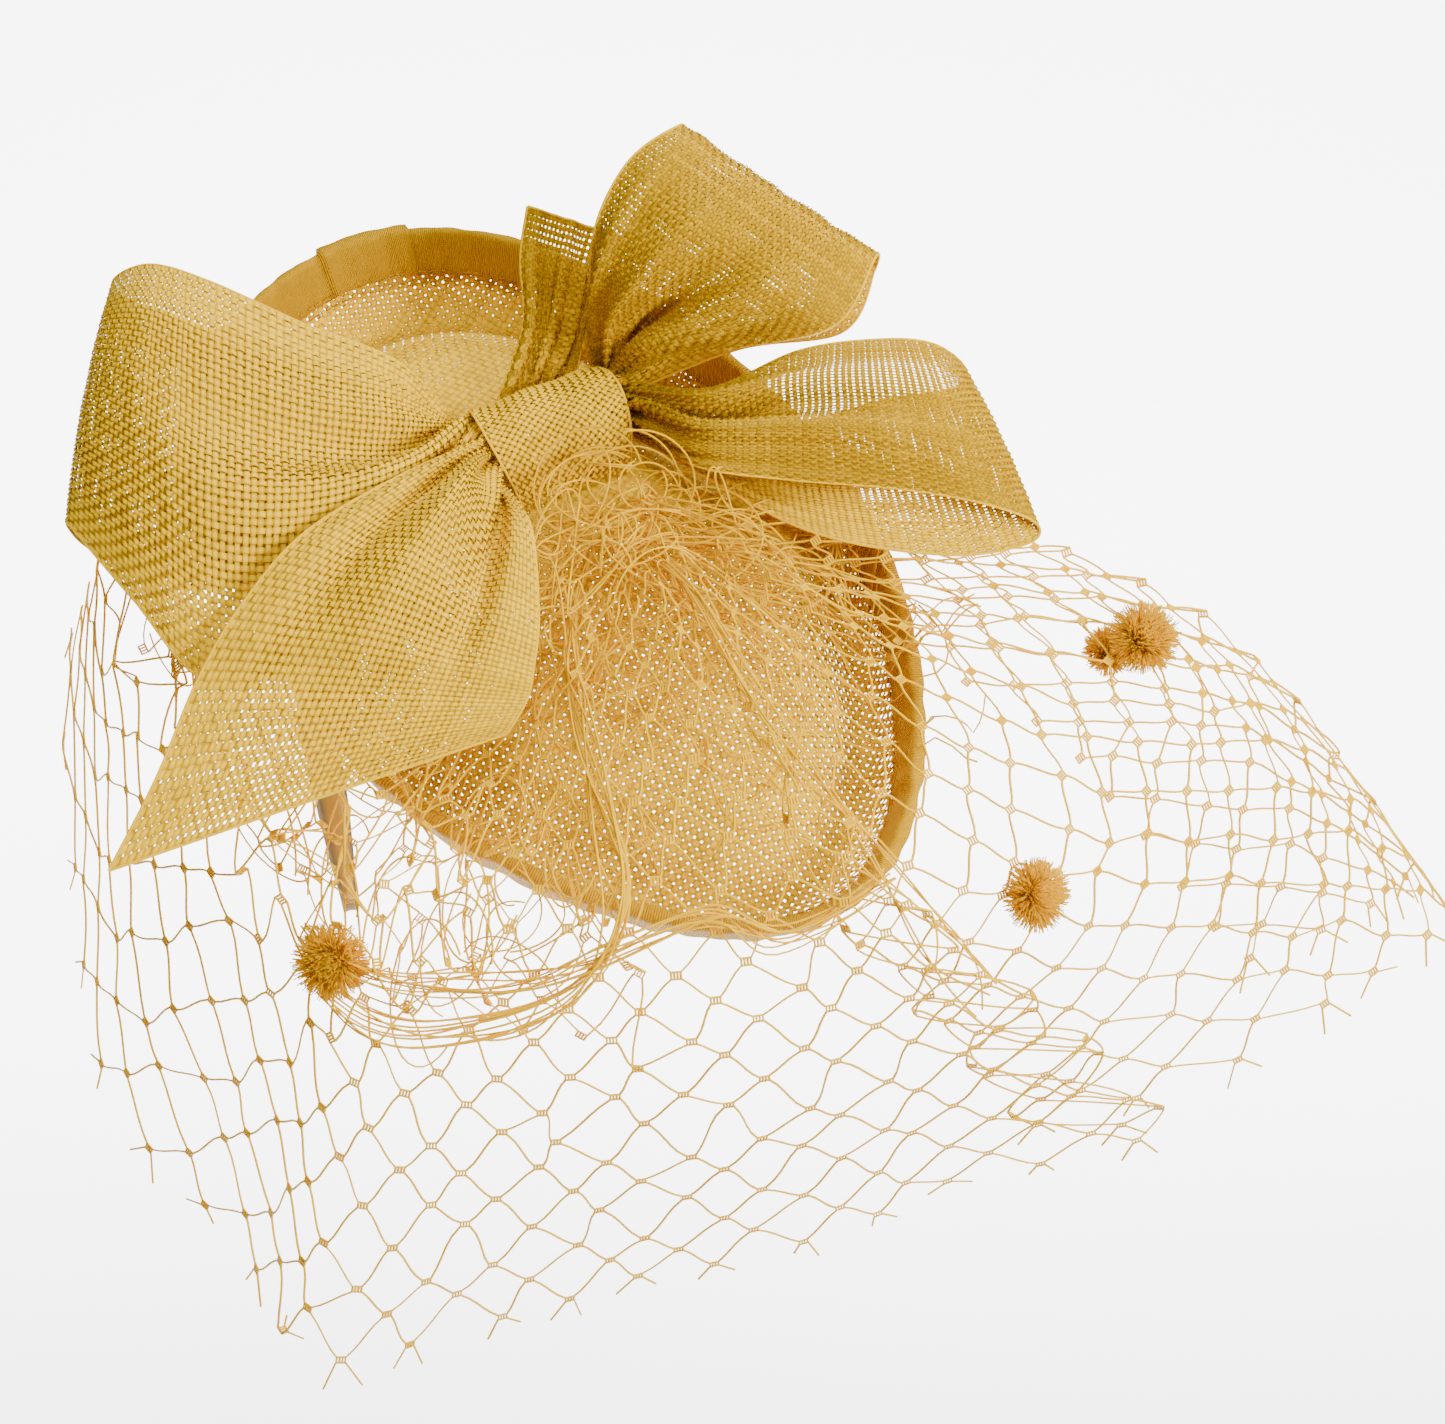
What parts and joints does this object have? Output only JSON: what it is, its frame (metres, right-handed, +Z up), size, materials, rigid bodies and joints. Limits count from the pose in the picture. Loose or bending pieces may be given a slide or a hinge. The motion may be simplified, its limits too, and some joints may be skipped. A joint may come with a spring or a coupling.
{
  "type": "birdcage veil fascinator with an open-weave hat base, a ribbon bow and chenille dots",
  "caption": "Small open-weave hat base with a bound, upturned brim, a looped ribbon bow and a stiff diamond-net birdcage veil with chenille dots, worn tipped forwards on a hair clip.",
  "frame": {"origin": "under the crown, at the middle of the hat base at the height of the valley round the crown, where the hat sits on the head", "axes": "+Z up as worn, +X to the wearer's left, -Y towards the front of the face"},
  "size_m": [0.3532, 0.2072, 0.2526],
  "materials": {
    "woven_cloth": "bright yellow open plain weave of flat straw-like yarn, slightly glossy",
    "binding_tape": "fine matt yellow ribbon",
    "veil_net": "stiff yellow to peach net, slightly shiny strands",
    "chenille": "matt deep yellow pile",
    "clip_steel": "dull warm metal"
  },
  "bodies": {
    "root": {"base": "woven_cloth", "rim_binding": "binding_tape", "bow_knot": "woven_cloth", "bow_left_loop": "woven_cloth", "bow_big_tail": "woven_cloth", "bow_top_loop": "woven_cloth", "bow_right_loop": "woven_cloth", "bow_small_tail": "woven_cloth", "veil_net": "veil_net", "chenille_dot_1": "chenille", "chenille_dot_2": "chenille", "chenille_dot_3": "chenille", "chenille_dot_4": "chenille", "hair_clip": "clip_steel"}
  },
  "joints": []
}
